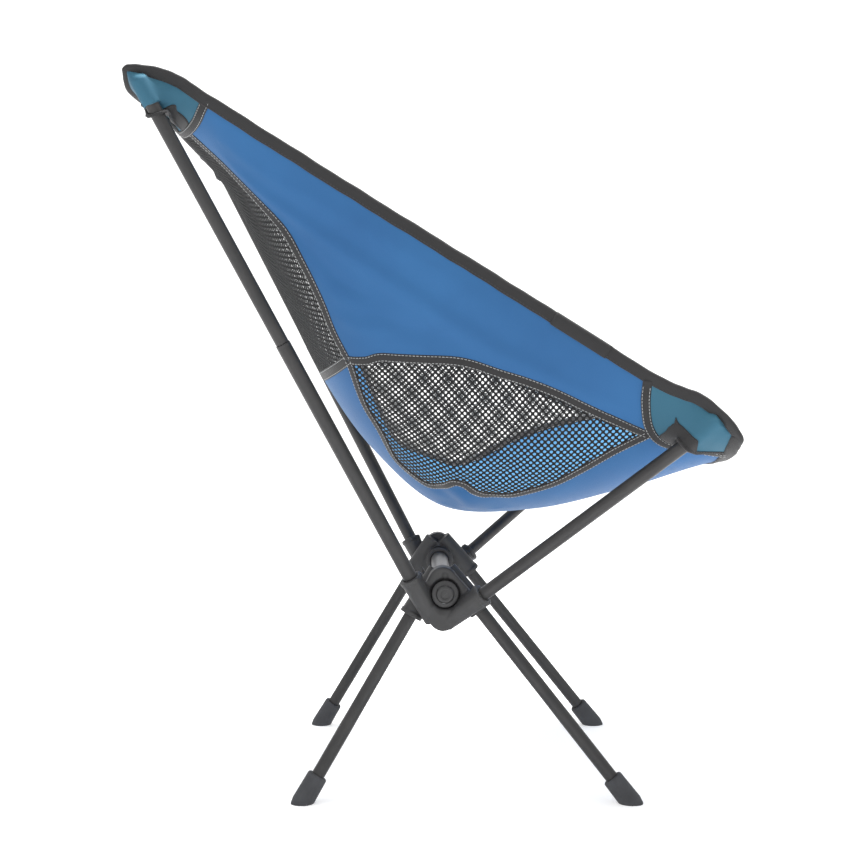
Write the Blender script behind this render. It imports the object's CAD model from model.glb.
"""The looks of an ultralight backpacking chair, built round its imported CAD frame.

Sizes here are in millimetres until mesh_object() turns them into metres. The left half of the
seat is described with u from 0 in the middle to 1 at the side edge and v from 0 at the top
edge of the back to 1 at the front edge; a negative u is the right half.
"""

import math

import bpy
import numpy as np
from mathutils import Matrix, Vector


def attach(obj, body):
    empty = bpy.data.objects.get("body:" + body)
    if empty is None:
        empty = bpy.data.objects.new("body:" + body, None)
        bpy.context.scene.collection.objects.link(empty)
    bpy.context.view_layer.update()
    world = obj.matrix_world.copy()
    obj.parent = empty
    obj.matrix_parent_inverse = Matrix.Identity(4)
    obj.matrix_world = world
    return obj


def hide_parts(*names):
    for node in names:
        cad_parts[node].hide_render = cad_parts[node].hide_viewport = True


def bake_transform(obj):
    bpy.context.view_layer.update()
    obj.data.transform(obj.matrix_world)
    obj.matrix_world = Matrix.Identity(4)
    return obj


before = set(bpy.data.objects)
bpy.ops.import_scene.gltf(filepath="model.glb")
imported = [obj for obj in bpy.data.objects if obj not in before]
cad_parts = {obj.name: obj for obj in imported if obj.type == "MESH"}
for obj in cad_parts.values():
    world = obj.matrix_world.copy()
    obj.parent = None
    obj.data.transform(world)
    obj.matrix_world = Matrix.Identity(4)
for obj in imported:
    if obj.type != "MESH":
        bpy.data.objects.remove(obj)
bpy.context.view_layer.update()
SIDES = (("left", 1), ("right", -1))

# ------------------------------------------------------------------ dimensions, as in the CAD

UPPER_APEX = (3, 137.5, 156.5)
BACK_TIP = (-251.5, 249, 639)
FRONT_TIP = (241, 230, 350.5)
LEG_APEX = (7, 119.5, 215)
REAR_FOOT = (-120.5, 149, 0)
FRONT_FOOT = (178.5, 149, 0)
POLE_START = 18
POLE_RADIUS = 6
BACK_POLE_RADIUS = 6.6
BACK_POLE_JOINT = 299
TIP_CAP = 9
TIP_RECESS = 1.6
FOOT_FLOOR = 9
BAR_X, BAR_Z, BAR_RADIUS, BAR_HALF = 9, 185, 9, 138.7
GAP = 0.3

STATIONS = np.array([  # middle x, z; edge x, y, z; squareness
    (-227.5, 602, -265.6, 257, 651, 0.6),
    (-205.5, 572, -226.5, 242, 646, 0.5),
    (-184.5, 541, -194.5, 231, 628, 0.5),
    (-147.5, 461, -131.5, 212, 590, 0.65),
    (-108.5, 384, -66.5, 201, 550, 0.85),
    (-57.5, 312, -1.5, 196, 510, 1),
    (9.5, 256, 63.5, 198, 469.5, 1),
    (96.5, 254, 128.5, 206, 428, 0.85),
    (181.5, 275, 193.5, 221, 386.5, 0.6),
    (224.5, 289, 229.5, 232, 370, 0.6),
    (262.5, 305, 260.5, 243, 340, 0.65),
], float)

# Seams of the left half, as (u, v).
BACK_TAPE = [(0.41, 0), (0.47, 0.022), (0.541, 0.052), (0.62, 0.08), (0.704, 0.109),
             (0.823, 0.155), (0.937, 0.187), (0.985, 0.195)]
BACK_SEAM = [(0.62, 0.08), (0.61, 0.135), (0.63, 0.185), (0.695, 0.255), (0.715, 0.305),
             (0.68, 0.345), (0.63, 0.383), (0.575, 0.41), (0.54, 0.438)]
LEAF_TOP = [(0.54, 0.438), (0.61, 0.461), (0.685, 0.487), (0.8, 0.562), (0.83, 0.623),
            (0.83, 0.682), (0.8, 0.743), (0.755, 0.797)]
LEAF_BOTTOM = {  # the two leaves hang a little differently
    "right": [(0.54, 0.438), (0.518, 0.447), (0.436, 0.473), (0.388, 0.501), (0.308, 0.527),
              (0.308, 0.55), (0.33, 0.576), (0.39, 0.591), (0.434, 0.6), (0.44, 0.612),
              (0.412, 0.625), (0.388, 0.64), (0.398, 0.66), (0.428, 0.681), (0.482, 0.708),
              (0.568, 0.735), (0.66, 0.762), (0.755, 0.797)],
    "left": [(0.54, 0.438), (0.45, 0.475), (0.37, 0.505), (0.33, 0.527), (0.38, 0.555),
             (0.418, 0.582), (0.43, 0.61), (0.5, 0.643), (0.57, 0.668), (0.63, 0.697),
             (0.69, 0.737), (0.755, 0.797)],
}
FRONT_TAPE = [(0.985, 0.782), (0.89, 0.785), (0.79, 0.797), (0.725, 0.82), (0.69, 0.855),
              (0.668, 0.9), (0.65, 0.945), (0.63, 1)]
# how far the rounding of a corner reaches along its edges, in u and in v
CORNERS = {"back": (0.075, 0.038), "front": (0.1, 0.046)}
HOOD = 13  # how far the top edge is drawn back round each pole tip

# ------------------------------------------------------------------ small helpers


def srgb(r, g, b):
    """A colour as a picture shows it, 0 to 255, turned linear."""
    def one(c):
        c /= 255
        return c / 12.92 if c <= 0.04045 else ((c + 0.055) / 1.055) ** 2.4
    return (one(r), one(g), one(b), 1.0)


def unit(a):
    a = np.asarray(a, float)
    return a / np.maximum(np.linalg.norm(a, axis=-1, keepdims=True), 1e-12)


def lengths_along(points):
    """The length run along a line up to each of its points, from 0."""
    return np.concatenate([[0], np.cumsum(np.linalg.norm(np.diff(points, axis=0), axis=1))])


def between(table, i, j):
    """A table's values between its whole rows and columns."""
    a, b = i.astype(int), j.astype(int)
    s, t = i - a, j - b
    return (table[a, b] * (1 - s) * (1 - t) + table[a + 1, b] * s * (1 - t)
            + table[a, b + 1] * (1 - s) * t + table[a + 1, b + 1] * s * t)


def spline(points, t):
    """A Catmull-Rom curve through the points, at each t from 0 to 1."""
    p = np.asarray(points, float)
    ends = np.vstack([2 * p[0] - p[1], p, 2 * p[-1] - p[-2]])
    at = np.asarray(t, float) * (len(p) - 1)
    i = np.clip(np.floor(at).astype(int), 0, len(p) - 2)
    w = (at - i)[..., None]
    a, b, c, d = ends[i], ends[i + 1], ends[i + 2], ends[i + 3]
    s, e = 0.5 * (c - a), 0.5 * (d - b)
    return (2 * b - 2 * c + s + e) * w**3 + (3 * c - 3 * b - 2 * s - e) * w**2 + s * w + b


def mirrored(point, sign):
    return np.array([point[0], point[1] * sign, point[2]], float)


def placed(name, data):
    obj = bpy.data.objects.new(name, data)
    bpy.context.scene.collection.objects.link(obj)
    return obj


def mesh_object(name, points, faces, look, uv=None, normals=None):
    mesh = bpy.data.meshes.new(name)
    mesh.from_pydata((np.asarray(points) * 0.001).tolist(), [], faces)
    mesh.polygons.foreach_set("use_smooth", [True] * len(mesh.polygons))
    if uv is not None:
        corner = np.zeros(len(mesh.loops), np.int32)
        mesh.loops.foreach_get("vertex_index", corner)
        layer = mesh.uv_layers.new(name="cloth")
        layer.data.foreach_set("uv", (np.asarray(uv)[corner] * 0.001).astype(np.float32).ravel())
    mesh.materials.append(look)
    mesh.update()
    if normals is not None:
        mesh.normals_split_custom_set_from_vertices(np.asarray(normals, float).tolist())
    return placed(name, mesh)


# ------------------------------------------------------------------ materials


class Nodes:
    """A material's node tree, with short calls for the nodes that the looks are made of."""

    def __init__(self, name):
        self.material = bpy.data.materials.new(name)
        self.material.use_nodes = True
        self.tree = self.material.node_tree
        self.shader = next(n for n in self.tree.nodes if n.type == "BSDF_PRINCIPLED")

    def add(self, kind, **settings):
        node = self.tree.nodes.new(kind)
        for key, value in settings.items():
            setattr(node, key, value)
        return node

    def link(self, value, socket):
        if isinstance(value, bpy.types.NodeSocket):
            self.tree.links.new(value, socket)
        else:
            socket.default_value = value

    def maths(self, operation, a, b=0.0, c=0.0):
        node = self.add("ShaderNodeMath", operation=operation)
        for i, value in enumerate((a, b, c)):
            self.link(value, node.inputs[i])
        return node.outputs[0]

    def coordinates(self, uv=False, scale=(1, 1, 1)):
        source = self.add("ShaderNodeTexCoord").outputs["UV" if uv else "Object"]
        mapping = self.add("ShaderNodeMapping")
        mapping.inputs["Scale"].default_value = scale
        self.tree.links.new(source, mapping.inputs["Vector"])
        return mapping.outputs["Vector"]

    def noise(self, scale, detail=3.0, vector=None, roughness=0.55):
        node = self.add("ShaderNodeTexNoise")
        self.link(vector or self.coordinates(), node.inputs["Vector"])
        node.inputs["Scale"].default_value = scale
        node.inputs["Detail"].default_value = detail
        node.inputs["Roughness"].default_value = roughness
        return node.outputs["Fac"]

    def ramp(self, value, low, high, start=0.3, end=0.7):
        node = self.add("ShaderNodeMapRange")
        self.link(value, node.inputs["Value"])
        for key, number in zip(("From Min", "From Max", "To Min", "To Max"),
                               (start, end, low, high)):
            node.inputs[key].default_value = number
        return node.outputs["Result"]

    def wave(self, value, turns):
        return self.maths("SINE", self.maths("MULTIPLY", value, turns))

    def split(self, vector):
        node = self.add("ShaderNodeSeparateXYZ")
        self.link(vector, node.inputs[0])
        return node.outputs

    def mix(self, factor, a, b):
        node = self.add("ShaderNodeMix", data_type="RGBA")
        for value, index in ((factor, 0), (a, 6), (b, 7)):
            self.link(value, node.inputs[index])
        return node.outputs[2]

    def bump(self, height, strength, distance, before=None):
        node = self.add("ShaderNodeBump")
        node.inputs["Strength"].default_value = strength
        node.inputs["Distance"].default_value = distance
        self.link(height, node.inputs["Height"])
        if before is not None:
            self.link(before, node.inputs["Normal"])
        return node.outputs["Normal"]

    def set(self, **values):
        names = {"colour": "Base Color", "roughness": "Roughness", "metallic": "Metallic",
                 "normal": "Normal", "sheen": "Sheen Weight", "specular": "Specular IOR Level",
                 "sheen_roughness": "Sheen Roughness", "coat": "Coat Weight"}
        for key, value in values.items():
            self.link(value, self.shader.inputs[names[key]])
        return self.material


def turned_up(n, start, end):
    """0 on faces that look down or sideways, 1 on the sun-faded ones that look up."""
    up = n.split(n.add("ShaderNodeNewGeometry").outputs["Normal"])[2]
    return n.ramp(up, 0, 1, start, end)


def weave(n, thread):
    """Height of a plain weave with that thread width in metres, from 0 to 1, in UV metres."""
    x, y, _ = n.split(n.coordinates(uv=True))
    turns = math.pi / thread
    over = n.maths("MULTIPLY", n.wave(x, turns), n.wave(y, turns))
    return n.maths("MULTIPLY_ADD", over, 0.5, 0.5)


def cloth_look(name, light, dark, faded, thread=0.00045, sheen=0.12, rough=0.78):
    n = Nodes(name)
    threads = weave(n, thread)
    broad = n.noise(9, 3)
    fine = n.noise(900, 2, n.coordinates(uv=True))
    colour = n.mix(n.ramp(broad, 0.0, 1.0, 0.3, 0.72), dark, light)
    colour = n.mix(turned_up(n, 0.2, 0.8), colour, faded)
    colour = n.mix(n.ramp(threads, 0.16, 0.0, 0, 1), colour, dark)
    colour = n.mix(n.ramp(fine, 0.0, 0.12), colour, dark)
    normal = n.bump(threads, 0.22, 0.00012)
    normal = n.bump(n.noise(55, 3), 0.1, 0.0012, normal)
    return n.set(colour=colour, normal=normal, sheen=sheen, sheen_roughness=0.35,
                 roughness=n.ramp(fine, rough - 0.06, rough + 0.08), specular=0.3)


def webbing_look(name, light, dark):
    """Flat woven tape: ribs across its width and a herringbone of light."""
    n = Nodes(name)
    x, y, _ = n.split(n.coordinates(uv=True))
    ribs = n.wave(x, math.pi / 0.0006)
    twill = n.wave(n.maths("ADD", x, y), math.pi / 0.0005)
    height = n.maths("MULTIPLY_ADD", n.maths("ADD", ribs, twill), 0.25, 0.5)
    wear = n.noise(40, 4)
    colour = n.mix(n.ramp(height, 0.0, 0.55, 0.1, 0.9), dark, light)
    colour = n.mix(n.ramp(wear, 0.0, 0.35), colour, light)
    normal = n.bump(height, 0.45, 0.00022)
    return n.set(colour=colour, normal=normal, roughness=n.ramp(wear, 0.72, 0.9), sheen=0.15,
                 sheen_roughness=0.5, specular=0.3)


def thread_look(name, colour, shade):
    n = Nodes(name)
    twist = n.noise(1500, 2)
    return n.set(colour=n.mix(n.ramp(twist, 0, 1), shade, colour), roughness=0.65,
                 normal=n.bump(twist, 0.3, 0.0001), specular=0.35)


def anodised_look():
    """Dark anodised tube: faint drawing marks along it, light rubbing and a little dust."""
    n = Nodes("anodised_tube")
    long_marks = n.noise(60, 4, n.coordinates(uv=True, scale=(30, 1, 1)))
    blotch = n.noise(35, 3)
    scratches = n.noise(240, 2, n.coordinates(uv=True, scale=(1, 6, 1)), 0.7)
    colour = n.mix(n.ramp(blotch, 0, 1), srgb(44, 44, 45), srgb(54, 53, 53))
    colour = n.mix(n.ramp(scratches, 0, 0.4, 0.66, 0.82), colour, srgb(84, 83, 81))
    rough = n.maths("ADD", n.ramp(long_marks, 0.36, 0.5), n.ramp(blotch, -0.03, 0.05))
    return n.set(colour=colour, metallic=0.35, roughness=rough, specular=0.45,
                 normal=n.bump(long_marks, 0.08, 0.0002))


def bare_metal_look():
    n = Nodes("bare_aluminium")
    brushed = n.noise(90, 5, n.coordinates(uv=True, scale=(1, 40, 1)))
    blotch = n.noise(25, 3)
    colour = n.mix(n.ramp(blotch, 0, 1), srgb(104, 104, 106), srgb(122, 122, 123))
    return n.set(colour=colour, metallic=0.7, roughness=n.ramp(brushed, 0.28, 0.46),
                 normal=n.bump(brushed, 0.12, 0.0001))


def moulded_look(name, low, high, rough=0.5, grain=0.14):
    """Injection-moulded plastic: spark-eroded grain, rubbed paler on its proud edges."""
    n = Nodes(name)
    texture = n.noise(2600, 2)
    flow = n.noise(48, 4)
    worn = n.add("ShaderNodeNewGeometry").outputs["Pointiness"]
    colour = n.mix(n.ramp(flow, 0, 1), low, high)
    pale = tuple(min(1.0, c * 1.9) for c in high[:3]) + (1.0,)
    colour = n.mix(n.ramp(worn, 0.0, 0.5, 0.53, 0.62), colour, pale)
    normal = n.bump(texture, grain, 0.00012)
    normal = n.bump(flow, 0.05, 0.0006, normal)
    return n.set(colour=colour, roughness=n.ramp(flow, rough - 0.07, rough + 0.08),
                 normal=normal, specular=0.42)


def rubber_look():
    n = Nodes("foot_rubber")
    texture = n.noise(1400, 3)
    dust = n.noise(75, 4)
    colour = n.mix(n.ramp(dust, 0, 1), srgb(52, 53, 56), srgb(68, 69, 72))
    return n.set(colour=colour, roughness=n.ramp(dust, 0.66, 0.86), specular=0.35,
                 normal=n.bump(texture, 0.2, 0.0002))


def braided_look():
    n = Nodes("cord")
    x, y, z = n.split(n.coordinates())
    braid = n.maths("MULTIPLY", n.wave(n.maths("ADD", x, z), 2600),
                    n.wave(n.maths("SUBTRACT", y, z), 2600))
    colour = n.mix(n.ramp(braid, 0, 1, -0.6, 0.7), srgb(24, 24, 27), srgb(64, 64, 66))
    colour = n.mix(n.ramp(n.noise(500, 1), 0, 1, 0.66, 0.7), colour, srgb(150, 30, 28))
    return n.set(colour=colour, roughness=0.8, normal=n.bump(braid, 0.5, 0.0003))


def net_look():
    n = Nodes("net")
    knit = n.noise(1600, 2, n.coordinates(uv=True))
    broad = n.noise(14, 2)
    colour = n.mix(n.ramp(knit, 0, 1), srgb(14, 15, 17), srgb(26, 26, 28))
    colour = n.mix(n.ramp(broad, 0, 0.3), colour, srgb(34, 34, 35))
    colour = n.mix(turned_up(n, 0.0, 0.3), colour, srgb(84, 85, 84))
    return n.set(colour=colour, roughness=n.ramp(knit, 0.62, 0.82), specular=0.2,
                 normal=n.bump(knit, 0.35, 0.00025))


LOOKS = {
    "woven": cloth_look("woven_fabric", srgb(45, 95, 143), srgb(39, 85, 132),
                        srgb(66, 124, 162)),
    "pocket": cloth_look("pocket_fabric", srgb(51, 96, 117), srgb(44, 86, 106),
                         srgb(58, 108, 128)),
    "web": webbing_look("webbing", srgb(50, 49, 50), srgb(32, 32, 33)),
    "net": net_look(),
    "thread": thread_look("thread", srgb(176, 178, 178), srgb(128, 130, 131)),
    "dark_thread": thread_look("dark_thread", srgb(58, 58, 60), srgb(36, 36, 38)),
    "tube": anodised_look(),
    "bare": bare_metal_look(),
    "hub": moulded_look("hub_plastic", srgb(41, 41, 42), srgb(51, 51, 52)),
    "cap": moulded_look("dark_plastic", srgb(40, 40, 41), srgb(50, 50, 51), 0.46, 0.1),
    "rubber": rubber_look(),
    "cord": braided_look(),
}
steel = Nodes("steel")
turned = steel.noise(300, 3)
LOOKS["steel"] = steel.set(colour=srgb(150, 152, 155), metallic=0.95,
                           roughness=steel.ramp(turned, 0.24, 0.42),
                           normal=steel.bump(turned, 0.1, 0.0001))

# ------------------------------------------------------------------ the seat's surface


def seat(u, v):
    u, v = np.broadcast_arrays(np.asarray(u, float), np.asarray(v, float))
    mx, mz, ex, ey, ez, k = np.moveaxis(spline(STATIONS, v), -1, 0)
    out = np.abs(u)
    near, far, end = 3 * out * (1 - out) ** 2, 3 * out**2 * (1 - out), out**3
    across = near * (1 / 3 + 0.35 * k) + far * (2 + k) / 3 + end
    rise = far * (1 / 3 - 0.1 * k) + end
    hood = HOOD * np.exp(-((out - 0.78) / 0.14) ** 2 - (v / 0.03) ** 2)
    return np.stack([mx + (ex - mx) * rise - hood, np.sign(u) * ey * across,
                     mz + (ez - mz) * rise], -1)


def normals_of(surface, u, v, step=2e-3):
    """Square to a surface, pointing out of the bucket."""
    across = surface(u + step, v) - surface(u - step, v)
    low, high = np.clip(v - step, 0, 1), np.clip(v + step, 0, 1)
    return unit(np.cross(across, surface(u, high) - surface(u, low)))


def inside(polygon, u, v):
    """Which of the points lie inside the polygon."""
    px, py = np.asarray(polygon, float).T
    qx, qy = np.roll(px, -1), np.roll(py, -1)
    x, y = np.asarray(u)[..., None], np.asarray(v)[..., None]
    crosses = (py > y) != (qy > y)
    slope = (qx - px) / np.where(qy == py, 1e-12, qy - py)
    return (crosses & (x < px + (y - py) * slope)).sum(-1) % 2 == 1


# The pole tips push the cloth out of its smooth surface: behind each tip the inner layer is
# pressed inwards, as solved once on a grid of heights.


def pole_line(tip):
    """A pole's tip, and the direction from it towards the hub."""
    tip = np.array(tip, float)
    return tip, unit(np.array(UPPER_APEX, float) - tip)


def from_pole(points, tip, back):
    """How far along the pole each point lies, and its way out from the pole's axis."""
    rel = points - tip
    along = rel @ back
    return along, rel - along[..., None] * back


class Dent:
    CLEAR = 7.8  # radius that the inner layer keeps clear round the pole's axis
    REACH = 75  # length of pole, from its tip, that the layer lies against
    HELD = 6  # width of the layer that the binding holds
    COUNT = 60
    ROUNDS = 700

    def __init__(self, tip, u_range, v_range, held_row):
        self.us, self.vs = np.linspace(*u_range, self.COUNT), np.linspace(*v_range, self.COUNT)
        u, v = np.meshgrid(self.us, self.vs)
        limit = self.limit(*pole_line(tip), seat(u, v), normals_of(seat, u, v))
        fixed = np.zeros_like(u, bool)
        fixed[:, 0] = fixed[held_row] = True
        edge_v = v[-1 - held_row if held_row else -1, 0]
        for rim in (seat(np.ones_like(u), v), seat(u, np.full_like(v, edge_v))):
            fixed |= np.linalg.norm(seat(u, v) - rim, axis=-1) < self.HELD
        h = np.zeros_like(u)
        for _ in range(self.ROUNDS):
            pad = np.pad(h, 1, mode="edge")
            h = (pad[:-2, 1:-1] + pad[2:, 1:-1] + pad[1:-1, :-2] + pad[1:-1, 2:]) / 4
            h = np.where(fixed, 0, np.minimum(h, limit))
        self.height = h

    def limit(self, tip, back, p, n):
        """The height at which each point's normal line enters the pole, or inf."""
        rel = p - (tip + back * 5)
        low = np.full(p.shape[:-1], np.inf)
        flat_p, flat_n = rel - (rel @ back)[..., None] * back, n - (n @ back)[..., None] * back
        for a_vec, p_vec, is_tube in ((flat_n, flat_p, True), (n, rel, False)):
            a, b = (a_vec**2).sum(-1), (a_vec * p_vec).sum(-1)
            c = (p_vec**2).sum(-1) - self.CLEAR**2
            h = (-b - np.sqrt(np.maximum(b * b - a * c, 0))) / a
            along = (rel + h[..., None] * n) @ back
            good = (b * b > a * c) & ((along >= 0) if is_tube else (along <= 0))
            low = np.where(good & (h < low), h, low)
        return np.where(((p - tip) @ back) < self.REACH, low - 0.6, np.inf)

    def look_up(self, u, v):
        """The height between its grid points, 0 off the grid."""
        u, v = np.abs(u), np.asarray(v, float)
        i = (u - self.us[0]) / (self.us[1] - self.us[0])
        j = (v - self.vs[0]) / (self.vs[1] - self.vs[0])
        on = (i >= 0) & (j > -1) & (i <= self.COUNT + 3) & (j <= self.COUNT + 3)
        last = self.COUNT - 1.001
        height = between(self.height.T, np.clip(i, 0, last), np.clip(j, 0, last))
        return np.where(on, height, 0.0)


DENTS = (Dent(BACK_TIP, (0.44, 1.0), (0.0, 0.22), -1), Dent(FRONT_TIP, (0.6, 1.0), (0.77, 1.0), 0))


RIDGE_STEPS = 150


def ridge(u, v, line, width, height):
    """A soft fold of the cloth along a line."""
    path = spline(line, np.linspace(0, 1, RIDGE_STEPS))
    scale = np.array([330.0, 900.0])
    gap = (np.stack([np.abs(u), v], -1)[..., None, :] - path) * scale
    near = np.sqrt((gap**2).sum(-1))
    fade = np.sin(np.pi * (near.argmin(-1) + 0.5) / RIDGE_STEPS) ** 0.7
    return height * fade * np.exp(-(near.min(-1) / width) ** 2)


RIDGES = [
    ([(0.7, 0.2), (0.81, 0.335), (0.86, 0.48), (0.868, 0.63), (0.85, 0.77)], 8, 3.2),
    ([(0.74, 0.3), (0.755, 0.4), (0.8, 0.5), (0.86, 0.6)], 10, -2.6),
    ([(0.8, 0.2), (0.9, 0.35), (0.94, 0.5), (0.93, 0.66)], 9, 2.0),
    ([(0.63, 0.4), (0.7, 0.45), (0.78, 0.49)], 8, 2.1),
    ([(0.67, 0.38), (0.76, 0.44), (0.84, 0.52)], 8, 1.8),
    ([(0.38, 0.575), (0.3, 0.6), (0.2, 0.6)], 12, -2.5),
    ([(0.43, 0.635), (0.36, 0.65), (0.26, 0.66)], 12, -2.5),
    ([(0.41, 0.61), (0.34, 0.62), (0.24, 0.63)], 9, 2.5),
    ([(0.47, 0.585), (0.5, 0.6), (0.56, 0.62)], 9, 2.4),
    ([(0.49, 0.64), (0.53, 0.65), (0.6, 0.66)], 9, -2.4),
]


def relief(u, v):
    """How far the cloth stands out of the smooth surface."""
    u, v = np.broadcast_arrays(np.asarray(u, float), np.asarray(v, float))
    h = 0.45 * np.sin(9 * u + 4 * v) * np.sin(17 * v + 2 * np.abs(u)) * (1 - np.abs(u)) * 2
    for line, width, height in RIDGES:
        h = h + ridge(u, v, line, width, height)
    return h + sum(dent.look_up(u, v) for dent in DENTS)


def skin(u, v):
    return seat(u, v) + normals_of(seat, u, v) * relief(u, v)[..., None]


# Lengths on the seat's surface: down its middle, and from the middle across at each row.
MID_V = np.linspace(0, 1, 401)
MID_ARC = lengths_along(seat(0, MID_V))
ARC_STEPS = 100
ARC_AT = np.linspace(0, 1, ARC_STEPS + 1)
ARCS = np.array([lengths_along(seat(ARC_AT, v)) for v in ARC_AT])


def arc_steps(share):
    """Where a share of 0 to 1 lies in ARCS, short of its last step's end."""
    return np.clip(share * ARC_STEPS, 0, ARC_STEPS - 0.001)


def cloth_uv(u, v):
    """Place on the flat cloth: length across from the middle, and along from the top."""
    across = between(ARCS, arc_steps(v), arc_steps(np.abs(u)))
    return np.stack([np.sign(u) * across, np.interp(v, MID_V, MID_ARC)], -1)


# ------------------------------------------------------------------ riding on the frame

BACK_PULL = unit((-0.5, 0.75, 0.43))
BACK_STEPS = (380, 460, 466, 548)


def pull(points, direction):
    """How far out towards a corner of the seat each point lies."""
    turned = np.stack([points[:, 0], np.abs(points[:, 1]), points[:, 2]], -1)
    return turned @ direction


def seat_parts(points, faces):
    """Splits faces by the corner of the seat that they follow: {part name: face numbers}."""
    middles = np.array([points[list(f)].mean(0) for f in faces])
    back = pull(middles, BACK_PULL)
    zone = np.where(back > (BACK_STEPS[1] + BACK_STEPS[2]) / 2, "top",
                    np.where(back > BACK_STEPS[0], "back", "front"))
    side = np.where(middles[:, 1] > 0, "left", "right")
    return {f"{z}_{s}": np.flatnonzero((zone == z) & (side == s))
            for z in ("front", "back", "top") for s in ("left", "right")
            if ((zone == z) & (side == s)).any()}


def follow(obj, part):
    """Makes a piece of the seat follow the pole tip of its corner."""
    zone, side = part.split("_")
    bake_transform(obj)
    return obj


def subset(points, faces, chosen, *others):
    """The chosen faces alone, with only the points that they use."""
    picked = [faces[i] for i in chosen]
    used = np.unique(np.concatenate([np.asarray(f) for f in picked]))
    number = np.full(len(points), -1)
    number[used] = np.arange(len(used))
    return (points[used], [tuple(int(number[k]) for k in f) for f in picked],
            *[None if o is None else o[used] for o in others])


def thick(points, normals, faces, thickness, uv):
    """A closed sheet: the faces on both sides of their surface, with walls round every edge."""
    half = normals * (thickness / 2)
    count = len(points)
    both = np.vstack([points + half, points - half])
    made = [tuple(f) for f in faces] + [tuple(k + count for k in reversed(f)) for f in faces]
    edges = {}
    for f in faces:
        for a, b in zip(f, (*f[1:], f[0])):
            if (b, a) in edges:
                del edges[(b, a)]
            else:
                edges[(a, b)] = True
    made += [(b, a, a + count, b + count) for a, b in edges]
    return both, made, np.vstack([normals, -normals]), np.vstack([uv, uv])


def area_of(points, faces):
    total = 0.0
    for f in faces:
        p = points[list(f)]
        total += np.linalg.norm(np.cross(p[1:-1] - p[0], p[2:] - p[0]).sum(0)) / 2
    return total


NET_CUT = 0.94  # a net is cut a little small and pulled to size
LEAST_SIZE = 12  # of a flat sheet's rectangle
LEAST_SHARE = 0.31  # of that rectangle, taken by the sheet itself


def cloth_pieces(name, points, normals, faces, thickness, uv, look, nodes,
                 open_share=0.0):
    """One sheet of cloth, in a piece for each corner of the seat that it follows."""
    for part, chosen in seat_parts(points, faces).items():
        p, f, n, c = subset(points, faces, chosen, normals, uv)
        flat = area_of(p, f)
        if open_share:
            cut = area_of(np.column_stack([c, np.zeros(len(c))]), f)
            flat = NET_CUT * min(flat, cut) / (1 - open_share)
        size = np.maximum(c.max(0) - c.min(0), LEAST_SIZE)
        size *= max(1.0, math.sqrt(flat / (size[0] * size[1])) * 1.001)
        while flat < LEAST_SHARE * size[0] * size[1]:
            size *= 0.97
        p, f, n, c = thick(p, n, f, thickness, c)
        obj = mesh_object(f"{name}_{part}", p, f, look, c, n)
        follow(obj, part)
        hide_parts(*nodes(part))


def trim_pieces(name, points, faces, uv, look, slot, nodes=None):
    """Webbing or stitching on the seat, split and driven in the same way."""
    for part, chosen in seat_parts(points, faces).items():
        p, f, c = subset(points, faces, chosen, uv)
        obj = follow(mesh_object(f"{name}_{part}", p, f, look, c), part)
        if nodes:
            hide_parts(*nodes(part))


def sided(name):
    """Gives, for a part of the seat, the one node of that name on the part's side."""
    return lambda part: [f"{name}_{part.split('_')[1]}"]


def ruled(first, second, columns, bow=None):
    """u and v over the patch between two lines of (u, v) points."""
    s = np.linspace(0, 1, columns + 1)
    a, b = np.asarray(first)[:, None, :], np.asarray(second)[:, None, :]
    spots = a + (b - a) * s[None, :, None]
    if bow is not None:
        spots = bow(spots, s)
    return spots[..., 0], spots[..., 1]


def grid_faces(rows, columns):
    j, i = np.meshgrid(np.arange(rows - 1), np.arange(columns - 1), indexing="ij")
    a = (j * columns + i).ravel()
    return np.stack([a, a + 1, a + columns + 1, a + columns], -1).tolist()


def turned_over(faces):
    return [f[::-1] for f in faces]


def faces_towards(grid, normals):
    """The faces of a grid of points, turned to the side that its normals point to."""
    faces = grid_faces(*grid.shape[:2])
    a, b, c = (grid.reshape(-1, 3)[faces[0][k]] for k in range(3))
    return turned_over(faces) if np.cross(b - a, c - a) @ normals[0, 0] < 0 else faces


def panel(name, u, v, look, nodes, thickness=0.9):
    points, normals = skin(u, v), normals_of(skin, u, v)
    cloth_pieces(name, points.reshape(-1, 3), normals.reshape(-1, 3), grid_faces(*u.shape),
                 thickness, cloth_uv(u, v).reshape(-1, 2), look, nodes)


def seam(points, count):
    return spline(points, np.linspace(0, 1, count))


def flipped(line):
    return line * np.array([-1, 1])


# ------------------------------------------------------------------ woven panels

def seat_side(side):
    front = LEAF_BOTTOM[side][-1:] + FRONT_TAPE[3:]
    return np.vstack([seam(LEAF_BOTTOM[side], 150)[:-1], seam(front, 44)])


def cross_v(u):
    return 0.4 + 0.13 * u**2


def bow_back(spots, s):
    """The seat panel's back edge is the curved cross seam."""
    fade = np.clip(1 - (spots[:, :1, 1] - 0.438) / 0.1, 0, 1) ** 2
    drop = (cross_v(spots[..., 0]) - 0.438) * fade
    spots[..., 1] += drop * (spots[:, :1, 1] < 0.54)
    return spots


u, v = ruled(flipped(seat_side("right")), seat_side("left"), 96, bow_back)
panel("seat_panel", u, v, LOOKS["woven"], lambda part: ["seat_panel"])

inner = np.vstack([seam(BACK_SEAM, 70)[:-1], seam(LEAF_TOP, 90)])
edge_v = np.linspace(0.2, 0.782, len(inner))
outer = np.stack([np.full(len(inner), 0.995), edge_v], -1)
for side, sign in SIDES:
    u, v = ruled(inner, outer, 34)
    if sign < 0:
        u, v = -u[:, ::-1], v[:, ::-1]
    panel(f"side_panel_{side}", u, v, LOOKS["woven"], sided("side_panel"))

# ------------------------------------------------------------------ nets

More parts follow.
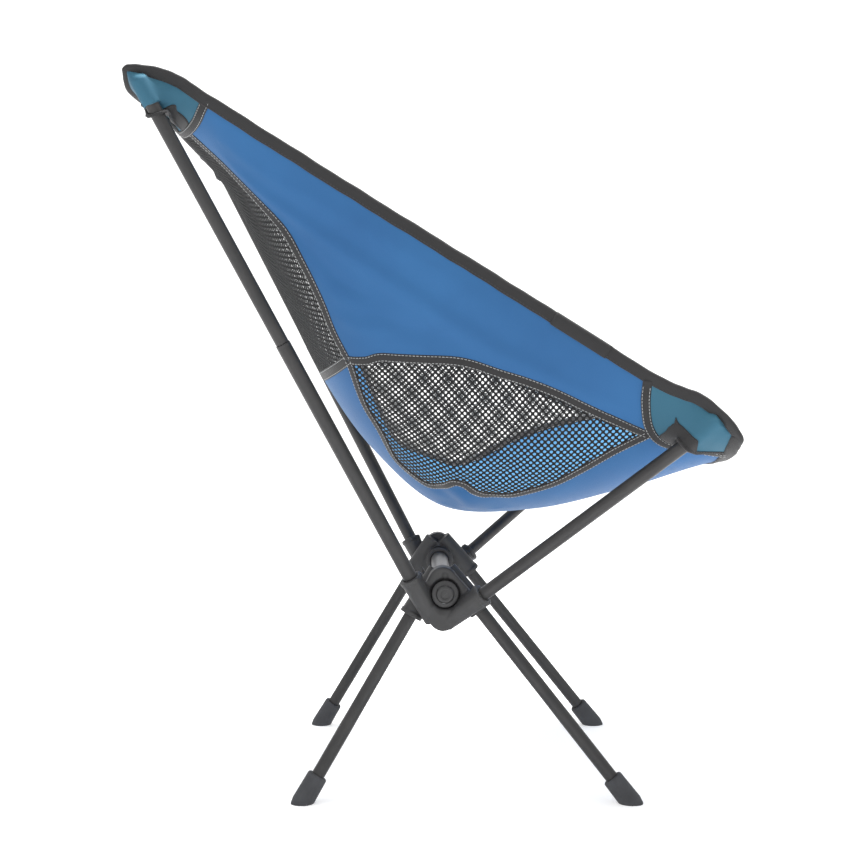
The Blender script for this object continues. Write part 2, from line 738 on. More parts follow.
HOLE_PITCH = (5.9, 5.8)  # rows of round holes, every second row moved half a pitch
HOLE_RADIUS = 1.56
NET_THICKNESS = 0.6
# share of the net's face that the octagonal holes take away
NET_OPEN = 2 * math.sqrt(2) * HOLE_RADIUS**2 / (HOLE_PITCH[0] * HOLE_PITCH[1] / 2)


def lattice(across, along, chosen):
    """Diamond cells with a round hole each, over the cells that chosen(x, y) accepts."""
    a, b = HOLE_PITCH[0] / 2, HOLE_PITCH[1] / 2
    i = np.arange(math.floor(across[0] / a), math.ceil(across[1] / a) + 1)
    j = np.arange(math.floor(along[0] / b), math.ceil(along[1] / b) + 1)
    i, j = (g.ravel() for g in np.meshgrid(i, j))
    even = (i + j) % 2 == 0
    i, j = i[even], j[even]
    wanted = chosen(i * a, j * b)
    i, j = i[wanted], j[wanted]
    steps = [(2, 0), (1, 1), (0, 2), (-1, 1), (-2, 0), (-1, -1), (0, -2), (1, -1)]
    rim = np.stack([np.stack([2 * i + x, 2 * j + y], -1) for x, y in steps], 1)
    keys, number = np.unique(rim.reshape(-1, 2), axis=0, return_inverse=True)
    number = number.reshape(-1, 8)
    turn = np.arange(8) * math.pi / 4
    ring = np.stack([(i * a)[:, None] + HOLE_RADIUS * np.cos(turn),
                     (j * b)[:, None] + HOLE_RADIUS * np.sin(turn)], -1).reshape(-1, 2)
    flat = np.vstack([keys * [a / 2, b / 2], ring])
    first = len(keys) + 8 * np.arange(len(i))[:, None] + np.arange(8)
    faces = np.stack([first, number, np.roll(number, -1, 1), np.roll(first, -1, 1)], -1)
    return flat, faces.reshape(-1, 4).tolist()


def net(name, flat, faces, uv_of, sign, nodes):
    """Lays the flat net on the seat."""
    u, v = uv_of(flat[:, 0], flat[:, 1])
    if sign < 0:
        u, faces = -u, turned_over(faces)
    cloth_pieces(name, skin(u, v), normals_of(skin, u, v), faces, NET_THICKNESS, flat,
                 LOOKS["net"], nodes, NET_OPEN)


def back_net_uv(x, y):
    v = np.interp(y, MID_ARC, MID_V)
    at = arc_steps(v)
    row = at.astype(int)
    w = at - row
    u = np.zeros_like(x)
    for r in np.unique(row):
        here = row == r
        low = np.interp(np.abs(x[here]), ARCS[r], ARC_AT)
        high = np.interp(np.abs(x[here]), ARCS[r + 1], ARC_AT)
        u[here] = np.sign(x[here]) * (low + (high - low) * w[here])
    return u, v


half_back = np.vstack([seam(BACK_TAPE[:4], 20)[:-1], seam(BACK_SEAM, 60)])
cross_u = np.linspace(0.54, -0.54, 60)
back_region = np.vstack([half_back, np.stack([cross_u, cross_v(cross_u)], -1),
                         flipped(half_back)[::-1]])


def in_back(x, y):
    return inside(back_region, *back_net_uv(x, y))


net("back_mesh", *lattice((-260, 260), (0, 330), in_back), back_net_uv, 1,
    lambda part: ["back_mesh"])

# The leaf's rows of holes run level along the side of the seat.
LEAF_STEPS = 160
LEAF_X = np.linspace(-80, 240, LEAF_STEPS + 1)
LEAF_Q = np.linspace(-170, 150, LEAF_STEPS + 1)
LEVEL_Z = 400


def leaf_tables():
    us, vs = np.linspace(0.15, 1, 86), np.linspace(0.3, 0.95, 131)
    grid_u, grid_v = np.meshgrid(us, vs, indexing="ij")
    x_of = seat(grid_u, grid_v)[..., 0]
    table_u, table_v = [], []
    for x in LEAF_X:
        v = np.array([np.interp(x, row, vs) for row in x_of])
        points = seat(us, v)
        arc = lengths_along(points)
        arc -= np.interp(LEVEL_Z, points[:, 2], arc)
        u_row = np.interp(LEAF_Q, arc, us)
        table_u.append(u_row)
        table_v.append(np.interp(u_row, us, v))
    return np.array(table_u), np.array(table_v)


LEAF_U, LEAF_V = leaf_tables()


def leaf_uv(x, y):
    i, j = (np.clip((value - line[0]) / (line[1] - line[0]), 0, LEAF_STEPS - 0.001)
            for value, line in ((x, LEAF_X), (y, LEAF_Q)))
    return between(LEAF_U, i, j), between(LEAF_V, i, j)


NET_STRETCH = {"left": 1.07, "right": 1.03}  # each leaf's net is pulled a little differently


def leaf_net(side, sign):
    region = np.vstack([seam(LEAF_TOP, 80), seam(LEAF_BOTTOM[side], 150)[::-1]])

    def uv_of(x, y):
        fan = NET_STRETCH[side] + 0.16 * np.clip((x + 20) / 130, 0, 1)
        return leaf_uv(x, y * fan)

    flat, faces = lattice((-80, 240), (-160, 140), lambda x, y: inside(region, *uv_of(x, y)))
    # seen from outside the left leaf, x runs forwards and y up, so its faces turn over
    net(f"side_mesh_{side}", flat, turned_over(faces), uv_of, sign, sided("side_mesh"))


for side, sign in SIDES:
    leaf_net(side, sign)

# ------------------------------------------------------------------ corner patches


def rounding(which, u):
    """How far a rounded corner has turned away from its end edge at u, in v."""
    reach_u, reach_v = CORNERS[which]
    x = np.clip((np.abs(u) - (1 - reach_u)) / reach_u, 0, 1)
    return reach_v * (1 - np.sqrt(np.maximum(1 - x**2, 0)))


def tape_v(tape, u):
    line = seam(tape, 200)
    line = line[np.argsort(line[:, 0])]
    return np.interp(u, line[:, 0], line[:, 1])


def corner_grid(which, sign, count=44):
    start = 0.45 if which == "back" else 0.636
    us = np.linspace(start, 0.997, count)
    tape = tape_v(BACK_TAPE if which == "back" else FRONT_TAPE, us)
    edge = rounding(which, us) + 0.002
    if which == "front":
        edge = 1 - edge
    t = np.linspace(0, 1, count)[:, None]
    v = edge + (tape - edge) * t if which == "back" else tape + (edge - tape) * t
    u = np.broadcast_to(us, v.shape)
    return (u, v) if sign > 0 else (-u[:, ::-1], v[:, ::-1])


for which in ("back", "front"):
    for side, sign in SIDES:
        u, v = corner_grid(which, sign)
        panel(f"{which}_corner_patch_{side}", u, v, LOOKS["pocket"],
              sided(f"{which}_corner_patch"))

# The outer layer of a corner pocket is held along the tape and the binding. Its free edge
# runs from the tape round the pole to the end binding, and the layer is drawn over the tip.


def shifted(line, distance):
    """A line of (u, v) points moved sideways on the seat, towards its left when positive."""
    u, v = np.asarray(line, float).T
    step = 1e-3
    du = (seat(u + step, v) - seat(u - step, v)) / (2 * step)
    dv = (seat(u, v + step) - seat(u, v - step)) / (2 * step)
    ahead = unit(np.gradient(seat(u, v), axis=0))
    aside = np.cross(unit(np.cross(du, dv)), ahead) * np.reshape(distance, (-1, 1))
    jacobian = np.stack([du, dv], -1)
    return np.asarray(line) + np.einsum("nij,nj->ni", np.linalg.pinv(jacobian), aside)


def resampled(points, count):
    """Even spacing along a line of points."""
    lengths = lengths_along(points)
    at = np.linspace(0, lengths[-1], count)
    return np.stack([np.interp(at, lengths, c) for c in np.asarray(points).T], -1)


def outline_half():
    """The seat's left edge as (u, v) points, from the middle of the top to the front."""
    turn = np.linspace(0, math.pi / 2, 22)
    (bu, bv), (fu, fv) = CORNERS["back"], CORNERS["front"]
    back = np.stack([1 - bu + bu * np.sin(turn), bv * (1 - np.cos(turn))], -1)
    front = np.stack([1 - fu + fu * np.cos(turn), 1 - fv + fv * np.sin(turn)], -1)
    top = np.stack([np.linspace(0, 1 - bu, 70)[:-1], np.zeros(69)], -1)
    side_v = np.linspace(bv, 1 - fv, 190)[1:-1]
    side = np.stack([np.ones(188), side_v], -1)
    bottom = np.stack([np.linspace(1 - fu, 0, 70)[1:], np.ones(69)], -1)
    return np.vstack([top, back, side, front, bottom])


def clear_of_pole(points, tip, back, radius, end=-1.0):
    """Moves the points that lie inside the pole to its skin."""
    along, radial = from_pole(points, tip, back)
    distance = np.linalg.norm(radial, axis=-1)
    within = (distance < radius) & (along > end)
    by_end = within & (along - end < radius - distance)
    out = points + unit(radial) * (radius - distance)[..., None]
    capped = points + back * (end - along)[..., None]
    return np.where(by_end[..., None], capped, np.where(within[..., None], out, points))


COUNT = 46  # points of the layer each way
LAYER_OFF = 0.95  # above the inner layer, where it is held
SLACK = 5  # how far the free edge stands off between the tape and the pole
MOUTH_CLEAR, LAYER_CLEAR = 9.0, 7.3  # radii kept clear round the pole's axis
MOUTH_ROUNDS, LAYER_ROUNDS = 4000, 2600


def pocket_layer(tip, tape, end_u, end_v, outward, hold):
    """The left pocket's outer layer as a grid: from its free edge to the bindings."""
    tip, back = pole_line(tip)
    outward = unit(outward - (outward @ back) * back)
    aside = np.cross(back, outward)
    aside *= np.sign(aside @ (seat(1.0, 0.9 if end_v else 0.1) - tip))
    held = lambda line: skin(*line.T) + normals_of(seat, *line.T) * LAYER_OFF
    edge = outline_half()
    edge = shifted(edge, 3.2 + 7.2 * np.clip(edge[:, 1] / 0.06, 0, 1))
    for _ in range(12):
        edge[1:-1] = (edge[:-2] + 2 * edge[1:-1] + edge[2:]) / 4
    tape = tape[np.argsort(-tape[:, 0])]
    gap = np.linalg.norm(seat(*edge.T)[:, None] - seat(*tape.T)[None], axis=-1)
    gap += 1000 * (tape[:, 0] < 0.85)
    cut, start = np.unravel_index(gap.argmin(), gap.shape)
    tape = tape[start:][::-1]
    rim = edge[:cut + 1][::-1] if end_v == 0 else edge[cut:]
    rim = rim[rim[:, 0] > end_u]
    turned = 1 - CORNERS["front" if end_v else "back"][0] * 0.9
    corner = len(rim) - 1 - np.abs(rim[::-1, 0] - turned).argmin()
    tape_side = resampled(held(tape), COUNT)
    far = resampled(held(rim[:corner + 1]), COUNT)
    end_side = resampled(held(rim[corner:])[::-1], COUNT)
    # the free edge, drawn tight round the pole
    a, b = tape_side[0], end_side[0]
    loop = [tip + back * d + aside * x + outward * y
            for d, x, y in ((55, 25, -20), (45, 28, 25), (35, -28, 25), (25, -28, -10))]
    mouth = resampled(np.stack([a, *loop, b]), 80)
    for _ in range(MOUTH_ROUNDS):
        mouth[1:-1] = (mouth[:-2] + mouth[2:]) / 2
        mouth[1:-1] = clear_of_pole(mouth[1:-1], tip, back, MOUTH_CLEAR)
        along, radial = from_pole(mouth, tip, back)
        near = np.linalg.norm(radial, axis=1) < 11
        slip = np.where(near, np.clip(along, *hold) - along, 0)
        mouth += 0.5 * slip[:, None] * back
    wing = np.flatnonzero(near)[0]
    mouth[:wing] += outward * (SLACK * np.sin(np.pi * np.arange(wing) / wing))[:, None]
    mouth = resampled(mouth, COUNT)
    p, q = np.meshgrid(np.linspace(0, 1, COUNT), np.linspace(0, 1, COUNT), indexing="ij")
    p, q = p[..., None], q[..., None]
    grid = ((1 - q) * mouth[:, None] + q * far[:, None] + (1 - p) * tape_side[None]
            + p * end_side[None] - (1 - p) * (1 - q) * a - p * (1 - q) * b
            - (1 - p) * q * tape_side[-1] - p * q * far[-1])
    grid = grid + outward * (38 * (4 * p * (1 - p)) ** 0.5 * np.minimum(1, 4 * (1 - q) * q + (
        1 - q) ** 2) * (q > 0))
    grid[:, 0], grid[0], grid[-1], grid[:, -1] = mouth, tape_side, end_side, far
    for _ in range(LAYER_ROUNDS):
        grid[1:-1, 1:-1] = (grid[:-2, 1:-1] + grid[2:, 1:-1] + grid[1:-1, :-2]
                            + grid[1:-1, 2:]) / 4
        grid[1:-1, 1:-1] = clear_of_pole(grid[1:-1, 1:-1], tip, back, LAYER_CLEAR)
    return grid


def grid_normals(grid, outward):
    n = unit(np.cross(np.gradient(grid, axis=0), np.gradient(grid, axis=1)))
    return n * np.sign((n * outward).sum())


back_out = normals_of(seat, np.array(0.85), np.array(0.04))
front_out = normals_of(seat, np.array(0.83), np.array(0.898))
back_line, front_line = seam(BACK_TAPE, 240), seam(FRONT_TAPE, 240)
POCKETS = {
    "back": (pocket_layer(BACK_TIP, shifted(back_line[back_line[:, 0] > 0.6], -4.4), 0.7, 0,
                          back_out, (31, 37)), back_out, 11, 11),
    "front": (pocket_layer(FRONT_TIP, shifted(front_line[front_line[:, 1] < 0.842], -4.4), 0.67,
                           1, front_out, (35, 39)), front_out, 14, 2.6),
}
for which, (grid, out, *_) in POCKETS.items():
    normals = grid_normals(grid, out)
    across, along = (np.concatenate([[0], np.cumsum(np.linalg.norm(
        np.diff(grid, axis=k), axis=-1).mean(1 - k))]) for k in (0, 1))
    cloth = np.stack(np.meshgrid(across, along, indexing="ij"), -1)
    faces = faces_towards(grid, normals)
    for side, sign in SIDES:
        flip = np.array([1, sign, 1])
        cloth_pieces(f"{which}_corner_pocket_{side}", grid.reshape(-1, 3) * flip,
                     normals.reshape(-1, 3) * flip,
                     faces if sign > 0 else turned_over(faces), 0.8,
                     cloth.reshape(-1, 2), LOOKS["pocket"],
                     sided(f"{which}_corner_pocket"))

# ------------------------------------------------------------------ webbing and stitching


def ribbon_frame(surface, line):
    """Points, normals and sideways directions along a line of (u, v) points."""
    u, v = np.asarray(line).T
    points = surface(u, v)
    normals = normals_of(surface, u, v)
    ahead = unit(np.gradient(points, axis=0))
    return points, normals, unit(np.cross(normals, ahead))


def swept(points, normals, sideways, profile, closed=False):
    """A closed profile of (sideways, out) points, swept along the line. Returns points, faces
    and cloth coordinates."""
    profile = np.asarray(profile, float)
    count, around = len(points), len(profile)
    p = (points[:, None] + sideways[:, None] * profile[None, :, :1]
         + normals[:, None] * profile[None, :, 1:2]).reshape(-1, 3)
    uv = np.stack(np.meshgrid(lengths_along(points), lengths_along(profile), indexing="ij"), -1)
    faces = []
    for j in range(count if closed else count - 1):
        k = (j + 1) % count
        for i in range(around):
            m = (i + 1) % around
            faces.append((j * around + i, k * around + i, k * around + m, j * around + m))
    if not closed:
        faces.append(tuple(range(around)))
        faces.append(tuple(reversed(range((count - 1) * around, count * around))))
    return p, faces, uv.reshape(-1, 2)


def tape_profile(width, out):
    """A flat tape with soft edges, standing out on both sides of the cloth."""
    w = width / 2
    half = [(w, 0.3 * out), (w - 0.4, 0.85 * out), (w - 1.2, out), (0, out * 1.06),
            (1.2 - w, out), (0.4 - w, 0.85 * out), (-w, 0.3 * out)]
    return half + [(x, -y) for x, y in reversed(half)]


def both_faces(profile):
    """A profile over one face of the cloth, carried on over the other face."""
    return profile + [(x, -y) for x, y in reversed(profile[:-1])]


def spaced(line, step):
    """Points every step along a line of 3-D points, as fractions of its point numbers."""
    lengths = lengths_along(line)
    return np.interp(np.arange(step / 2, lengths[-1], step), lengths, np.arange(len(line)))


def stitches(points, normals, sideways, offset, out, length=2.5, pitch=3.3, radius=0.34):
    """A row of short thread bars. Returns points, faces and cloth coordinates."""
    line = points + sideways * offset + normals * out
    at = spaced(line, pitch)
    base, share = at.astype(int), (at % 1)[:, None]
    nxt = np.minimum(base + 1, len(line) - 1)
    middle = line[base] * (1 - share) + line[nxt] * share
    ahead = unit(np.gradient(line, axis=0))[base]
    up, aside = normals[base], sideways[base]
    shape = [(-0.5, 0.25, -0.6), (-0.4, 0.85, 0.0), (0, 1.0, 0.35), (0.4, 0.85, 0.0),
             (0.5, 0.25, -0.6)]
    sides = 6
    turn = np.arange(sides) * 2 * math.pi / sides
    rings = []
    for along, size, lift in shape:
        spot = middle + ahead * (along * length) + up * (lift * radius)
        rings.append(spot[:, None] + radius * size * (
            aside[:, None] * np.cos(turn)[None, :, None] + up[:, None] * np.sin(turn)[
                None, :, None]))
    p = np.stack(rings, 1).reshape(-1, 3)
    faces = []
    for bar in np.arange(len(p)).reshape(len(at), len(shape), sides).tolist():
        for ring, after in zip(bar, bar[1:]):
            for i in range(sides):
                m = (i + 1) % sides
                faces.append((ring[i], ring[m], after[m], after[i]))
        faces.append(tuple(reversed(bar[0])))
        faces.append(tuple(bar[-1]))
    return p, faces, p[:, :2]


def gathered(made):
    """Several sets of points, faces and cloth coordinates as one."""
    points, faces, uvs, start = [], [], [], 0
    for p, f, c in made:
        points.append(p)
        uvs.append(c)
        faces += [tuple(k + start for k in face) for face in f]
        start += len(p)
    return np.vstack(points), faces, np.vstack(uvs)


TAPE_WIDTH = 8.6
TAPE_OUT = 1.05
CORNER_TAPE_OUT = 2.0
TAPE_END, STITCH_END = 0.972, 0.955  # in u, where the binding covers them
EDGE_ROW = 1.25  # from a tape's edge to its row of stitches
tapes, threads = [], []


def sew(line, width=TAPE_WIDTH, out=TAPE_OUT):
    """A tape along a seam with a row of stitches near each edge, on both faces."""
    line = line[(np.abs(line[:, 0]) < TAPE_END) & (line[:, 1] > 0.01) & (line[:, 1] < 0.986)]
    points, normals, sideways = ribbon_frame(skin, line)
    tapes.append(swept(points, normals, sideways, tape_profile(width, out)))
    bare = np.abs(line[:, 0]) < STITCH_END
    points, normals, sideways = points[bare], normals[bare], sideways[bare]
    for offset in (width / 2 - EDGE_ROW, EDGE_ROW - width / 2):
        threads.append(stitches(points, normals, sideways, offset, out))
        threads.append(stitches(points, -normals, -sideways, -offset, out))


for side, sign in SIDES:
    turn = np.array([sign, 1])
    sew(seam(BACK_TAPE, 90) * turn, out=CORNER_TAPE_OUT)
    sew(seam(BACK_SEAM, 110) * turn)
    sew(seam(LEAF_TOP, 130)[1:] * turn)
    sew(seam(LEAF_BOTTOM[side], 190)[1:] * turn)
    sew(seam(FRONT_TAPE, 90) * turn, out=CORNER_TAPE_OUT)
cross_u = np.linspace(-0.537, 0.537, 120)
cross_line = np.stack([cross_u, cross_v(cross_u)], -1)
sew(cross_line, width=10)

trim_pieces("seam_tape", *gathered(tapes), LOOKS["web"], "webbing")
trim_pieces("stitching", *gathered(threads), LOOKS["thread"], "webbing")

# ------------------------------------------------------------------ the binding round the edge


def edge_surface(u, v):
    return skin(u, np.clip(v, 0, 1))


half = outline_half()
edge = np.vstack([half, flipped(half)[::-1][1:-1]])
edge_points, edge_normals, _ = ribbon_frame(edge_surface, edge)
ahead = unit(np.roll(edge_points, -1, 0) - np.roll(edge_points, 1, 0))
edge_in = unit(np.cross(edge_normals, ahead))
inwards = edge_surface(edge[:, 0] * 0.97, 0.5 + (edge[:, 1] - 0.5) * 0.98) - edge_points
if (edge_in * inwards).sum() < 0:
    edge_in = -edge_in
waver = 0.18 * np.sin(np.arange(len(edge)) * 0.37) + 0.14 * np.sin(np.arange(len(edge)) * 0.83)
edge_points = edge_points + edge_in * waver[:, None]
fold = both_faces([(11, 0.5), (10.7, 1.4), (9.8, 1.65), (6, 1.7), (2.6, 1.8), (0.9, 1.6),
                   (-0.1, 1.0), (-0.4, 0)])
binding = swept(edge_points, edge_normals, edge_in, fold, closed=True)


def binding_nodes(part):
    zone, side = part.split("_")
    if zone == "front":
        return ["front_binding", f"side_binding_{side}", f"front_corner_binding_{side}"]
    return ["top_binding", f"side_binding_{side}", f"back_corner_binding_{side}"]


trim_pieces("edge_binding", *binding, LOOKS["web"], "webbing", binding_nodes)
rows = [stitches(edge_points, sign * edge_normals, sign * edge_in, sign * 9.3, 1.6, radius=0.3)
        for sign in (1, -1)]
trim_pieces("binding_stitching", *gathered(rows), LOOKS["dark_thread"], "webbing")

# The binding's two ends overlap on each side, towards the front.
lap = both_faces([(11.8, 0.5), (11.5, 1.8), (10.6, 2.2), (6, 2.3), (2, 2.4), (0.4, 2.1),
                  (-0.6, 1.2), (-0.9, 0)])
lap_v = np.linspace(0.665, 0.735, 30)
laps = []
for sign in (1, -1):
    line = np.stack([np.full_like(lap_v, sign), lap_v], -1)
    points, normals, sideways = ribbon_frame(skin, line)
    into = skin(line[:, 0] * 0.97, lap_v) - points
    sideways = sideways * np.sign((sideways * into).sum())
    laps.append(swept(points, normals, sideways, lap))
trim_pieces("binding_lap", *gathered(laps), LOOKS["web"], "webbing")

# ------------------------------------------------------------------ pocket mouths


BAND_THICKNESS = 2.3
BAND_COLUMNS = 12
bands, band_threads = [], []
for which, (grid, out, width, hem) in POCKETS.items():
    normals = grid_normals(grid, out)
    rows = []
    line = pole_line(BACK_TIP if which == "back" else FRONT_TIP)
    apart = np.linalg.norm(from_pole(grid[:, 0], *line)[1], axis=1)
    past = np.arange(COUNT) > np.flatnonzero(apart < 10.5).max()
    slant = (unit(np.gradient(grid[:, 0], axis=0)) * unit(grid[:, 6] - grid[:, 0])).sum(1)
    reaches = np.where(past, hem, width) / np.sqrt(1 - np.minimum(slant**2, 0.75))
    for line, square, reach in zip(grid, normals, reaches):
        lengths = lengths_along(line)
        at = np.linspace(-0.6, min(reach, lengths[-1]), BAND_COLUMNS)
        spots = np.stack([np.interp(at, lengths, c) for c in line.T], -1)
        spots[0] += unit(line[0] - line[1]) * 0.6
        rows.append((spots, np.stack([np.interp(at, lengths, c) for c in square.T], -1)))
    spots, square = (np.stack([r[k] for r in rows]) for k in (0, 1))
    across = np.broadcast_to(np.linspace(0, width, BAND_COLUMNS), spots.shape[:2])
    along = np.broadcast_to((np.arange(COUNT) * 1.6)[:, None], spots.shape[:2])
    band_uv = np.stack([along, across], -1).reshape(-1, 2)
    faces = faces_towards(spots, square)
    aside = unit(np.gradient(spots, axis=1))
    for side, sign in SIDES:
        flip = np.array([1, sign, 1])
        points, made, _, uv = thick(spots.reshape(-1, 3) * flip, square.reshape(-1, 3) * flip,
                                    faces if sign > 0 else turned_over(faces), BAND_THICKNESS,
                                    band_uv)
        bands.append((points, made, uv))
        for k in (1, BAND_COLUMNS - 2):
            band_threads.append(stitches(spots[:, k] * flip, square[:, k] * flip,
                                         aside[:, k] * flip, 0, 1.15, radius=0.3))

trim_pieces("pocket_mouth", *gathered(bands), LOOKS["web"], "webbing")
trim_pieces("mouth_stitching", *gathered(band_threads), LOOKS["dark_thread"], "webbing")

# ------------------------------------------------------------------ poles, legs and crossbar


def turned_between(name, start, end, profile, look, body, node, sides=56):
    """A turned piece: profile lists (distance from start, radius) round to its own start."""
    start, end = np.array(start, float), np.array(end, float)
    axis = unit(end - start)
    aside = unit(np.cross(axis, (0.3, 1, 0.2)))
    up = np.cross(axis, aside)
    turns = np.linspace(0, 2 * math.pi, sides, endpoint=False)
    circle = aside * np.cos(turns)[:, None] + up * np.sin(turns)[:, None]
    p = np.vstack([start + axis * d + circle * r for d, r in profile])
    count = len(profile)
    faces = []
    for r in range(count):
        q = (r + 1) % count
        for i in range(sides):
            m = (i + 1) % sides
            faces.append((r * sides + i, r * sides + m, q * sides + m, q * sides + i))
    uv = np.vstack([np.stack([turns * 6, np.full(sides, d)], -1) for d, _ in profile])
    obj = mesh_object(name, p, faces, look, uv)
    obj.data.set_sharp_from_angle(angle=math.radians(40))
    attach(obj, body)
    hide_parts(node)


CHAMFER = 0.35
POLE_WALL, BACK_POLE_WALL = 0.8, 0.9


def tube(node, body, apex, tip, start, end, radius=POLE_RADIUS, wall=POLE_WALL):
    """A tube on the line from its hub to its tip, with a small chamfer at both ends."""
    inner, rim = radius - wall, radius - CHAMFER
    steps = [(start, inner), (start, rim), (start + CHAMFER, radius)]
    steps += [(d, radius) for d in np.linspace(start + CHAMFER, end - CHAMFER, 12)[1:-1]]
    steps += [(end - CHAMFER, radius), (end, rim), (end, inner)]
    turned_between(f"{node}_fine", apex, tip, steps, LOOKS["tube"], body, node)


def length_of(a, b):
    return float(np.linalg.norm(np.subtract(a, b)))


for side, sign in SIDES:
    apex, legs, front, back = (mirrored(p, sign)
                               for p in (UPPER_APEX, LEG_APEX, FRONT_TIP, BACK_TIP))
    for which, sole in (("rear", REAR_FOOT), ("front", FRONT_FOOT)):
        tube(f"{which}_leg_tube_{side}", f"{which}_leg_{side}", legs, mirrored(sole, sign),
             POLE_START, length_of(LEG_APEX, sole) - FOOT_FLOOR - GAP)
    tube(f"front_pole_{side}", f"front_pole_{side}", apex, front,
         POLE_START, length_of(UPPER_APEX, FRONT_TIP) - TIP_RECESS - TIP_CAP)
    tube(f"back_pole_lower_{side}", f"back_lower_{side}", apex, back,
         POLE_START, BACK_POLE_JOINT, BACK_POLE_RADIUS, BACK_POLE_WALL)
    tube(f"back_pole_upper_{side}", f"back_upper_{side}", apex, back, BACK_POLE_JOINT + GAP,
         length_of(UPPER_APEX, BACK_TIP) - TIP_RECESS - TIP_CAP)

bar = [(0, 3), (0, BAR_RADIUS - 0.5), (0.5, BAR_RADIUS)]
bar += [(d, BAR_RADIUS) for d in np.linspace(1, 2 * BAR_HALF - 1, 12)]
bar += [(2 * BAR_HALF - 0.5, BAR_RADIUS), (2 * BAR_HALF, BAR_RADIUS - 0.5), (2 * BAR_HALF, 3)]
turned_between("crossbar_fine", (BAR_X, -BAR_HALF, BAR_Z), (BAR_X, BAR_HALF, BAR_Z), bar,
               LOOKS["bare"], "frame", "crossbar")

# ------------------------------------------------------------------ moulded pieces


def softened(node, voxel, rounds, look, body):
    """A moulding with the CAD piece's shape and its edges rounded as a mould leaves them."""
    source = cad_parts[node]
    obj = placed(node + "_moulded", source.data.copy())
    remesh = obj.modifiers.new("remesh", "REMESH")
    remesh.mode, remesh.voxel_size = "VOXEL", voxel * 0.001
    smooth = obj.modifiers.new("smooth", "SMOOTH")
    smooth.factor, smooth.iterations = 0.5, rounds
    bpy.context.view_layer.update()
    mesh = bpy.data.meshes.new_from_object(
        obj.evaluated_get(bpy.context.evaluated_depsgraph_get()))
    obj.modifiers.clear()
    obj.data = mesh
    mesh.materials.clear()
    mesh.materials.append(look)
    mesh.polygons.foreach_set("use_smooth", [True] * len(mesh.polygons))
    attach(obj, body)
    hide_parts(node)
    return obj


WEB_RECESS = 4.2
WEB_ROUNDS = 34


def recessed(obj):
    """Sinks the hub's web between its two upper sockets and softens it."""
    mesh = obj.data
    p = np.zeros(len(mesh.vertices) * 3)
    mesh.vertices.foreach_get("co", p)
    p = p.reshape(-1, 3) * 1000
    ends = np.zeros(len(mesh.edges) * 2, np.int32)
    mesh.edges.foreach_get("vertices", ends)
    a, b = ends.reshape(-1, 2).T
    x, z = p[:, 0] - UPPER_APEX[0], p[:, 2] - UPPER_APEX[2]
    gaps = []
    for tip, turn in ((BACK_TIP, 1), (FRONT_TIP, -1)):
        ax, az = unit((tip[0] - UPPER_APEX[0], tip[2] - UPPER_APEX[2]))
        gaps.append((x * az - z * ax) * turn)
    gap = np.clip((-5 * np.logaddexp(-gaps[0] / 5, -gaps[1] / 5) - 5) / 7, 0, 1)
    out = np.clip((np.abs(p[:, 1]) - 134) / 7, 0, 1)
    depth = gap**2 * (3 - 2 * gap) * out**2 * (3 - 2 * out)
    p[:, 1] -= np.sign(p[:, 1]) * depth * WEB_RECESS
    near = np.bincount(a, minlength=len(p)) + np.bincount(b, minlength=len(p))
    for _ in range(WEB_ROUNDS):
        total = np.zeros_like(p)
        np.add.at(total, a, p[b])
        np.add.at(total, b, p[a])
        p += (total / near[:, None] - p) * (0.6 * np.minimum(depth * 2, 1))[:, None]
    mesh.vertices.foreach_set("co", (p * 0.001).ravel())
    mesh.update()


KNOB = [(0, 0.1), (0, 8), (3.6, 8), (3.6, 12), (6.4, 12.2), (7, 11.9), (7.3, 11.2), (7.4, 8.4),
        (8.4, 8), (9.2, 7.7), (9.7, 7.1), (9.9, 6.2), (10, 4.4), (9.8, 4), (9.5, 3.7), (9.45, 2),
        (9.5, 0.02), (0, 0.02)]
for side, sign in SIDES:
    hub = softened(f"hub_{side}", 0.6, 5, LOOKS["hub"], "frame")
    recessed(hub)
    turned_between(f"hub_knob_{side}", (9.5, sign * 138.6, 188.5), (9.5, sign * 150, 188.5),
                   KNOB, LOOKS["cap"], "frame", f"hub_cap_{side}", 64)
    for which in ("rear", "front"):
        softened(f"{which}_foot_{side}", 0.5, 4, LOOKS["rubber"], f"{which}_leg_{side}")

CARRIED = {"hub_bolt": "steel", "cord": "cord", "ferrule": "bare", "tip": "cap"}
for name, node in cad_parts.items():
    for key, look in CARRIED.items():
        if key in name:
            node.data.materials.clear()
            node.data.materials.append(LOOKS[look])

# ------------------------------------------------------------------ floor, light and camera


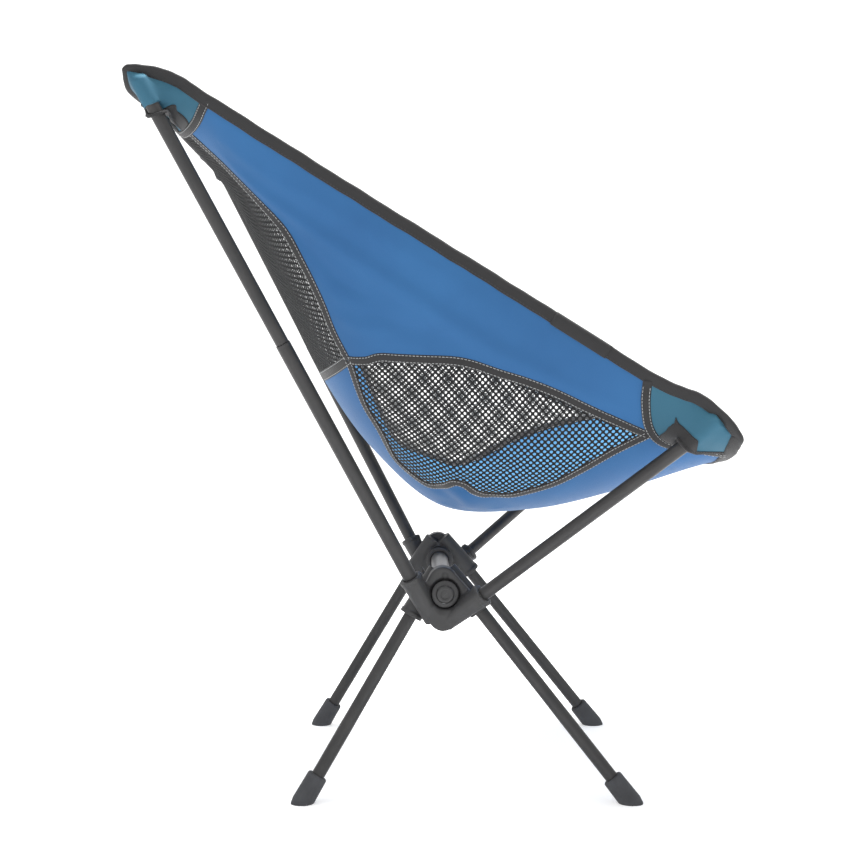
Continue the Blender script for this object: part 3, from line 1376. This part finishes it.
def backdrop():
    """A pale floor, lit up further out as a studio sweep is."""
    n = Nodes("floor")
    grain = n.noise(3, 3)
    far = n.add("ShaderNodeVectorMath", operation="LENGTH")
    n.link(n.coordinates(), far.inputs[0])
    n.set(colour=n.mix(grain, (0.72, 0.72, 0.72, 1), (0.76, 0.76, 0.76, 1)), roughness=0.9,
          specular=0.05)
    n.shader.inputs["Emission Color"].default_value = (1, 1, 1, 1)
    lit = n.ramp(far.outputs["Value"], 0.45, 0.58, 0.3, 1.6)
    n.link(lit, n.shader.inputs["Emission Strength"])
    steps = np.linspace(-9000, 9000, 2)
    points = [(x, y, 0) for y in steps for x in steps]
    points += [(x, 9000 + 2500 * math.sin(t), 2500 * (1 - math.cos(t)))
               for t in np.linspace(0.1, math.pi / 2, 12) for x in steps]
    points += [(x, 11500, 12000) for x in steps]
    rows = len(points) // 2
    floor = mesh_object("floor", points, grid_faces(rows, 2), n.material)


def area_light(name, place, target, size, power):
    data = bpy.data.lights.new(name, "AREA")
    data.shape, data.size, data.energy = "DISK", size, power
    obj = placed(name, data)
    obj.location = place
    obj.rotation_mode = "QUATERNION"
    obj.rotation_quaternion = (Vector(target) - Vector(place)).to_track_quat("-Z", "Y")


backdrop()
area_light("overhead", (0.25, 0.15, 2.4), (0.05, 0, 0.3), 0.9, 100)
area_light("key", (-1.2, -1.8, 2.2), (0, 0, 0.35), 1.6, 8)

world = bpy.data.worlds.new("studio")
bpy.context.scene.world = world
world.use_nodes = True
world.node_tree.nodes["Background"].inputs[0].default_value = (1, 1, 1, 1)
world.node_tree.nodes["Background"].inputs[1].default_value = 1.0
bpy.context.scene.view_settings.view_transform = "Standard"

camera = placed("camera", bpy.data.cameras.new("camera"))
camera.location = (-0.0215, -1.56, 0.411)
camera.rotation_euler = (math.pi / 2, 0, 0)
camera.data.lens, camera.data.sensor_width = 64.7, 36
camera.data.shift_x, camera.data.shift_y = 0.0265, -0.098
camera.data.clip_end = 60
bpy.context.scene.camera = camera
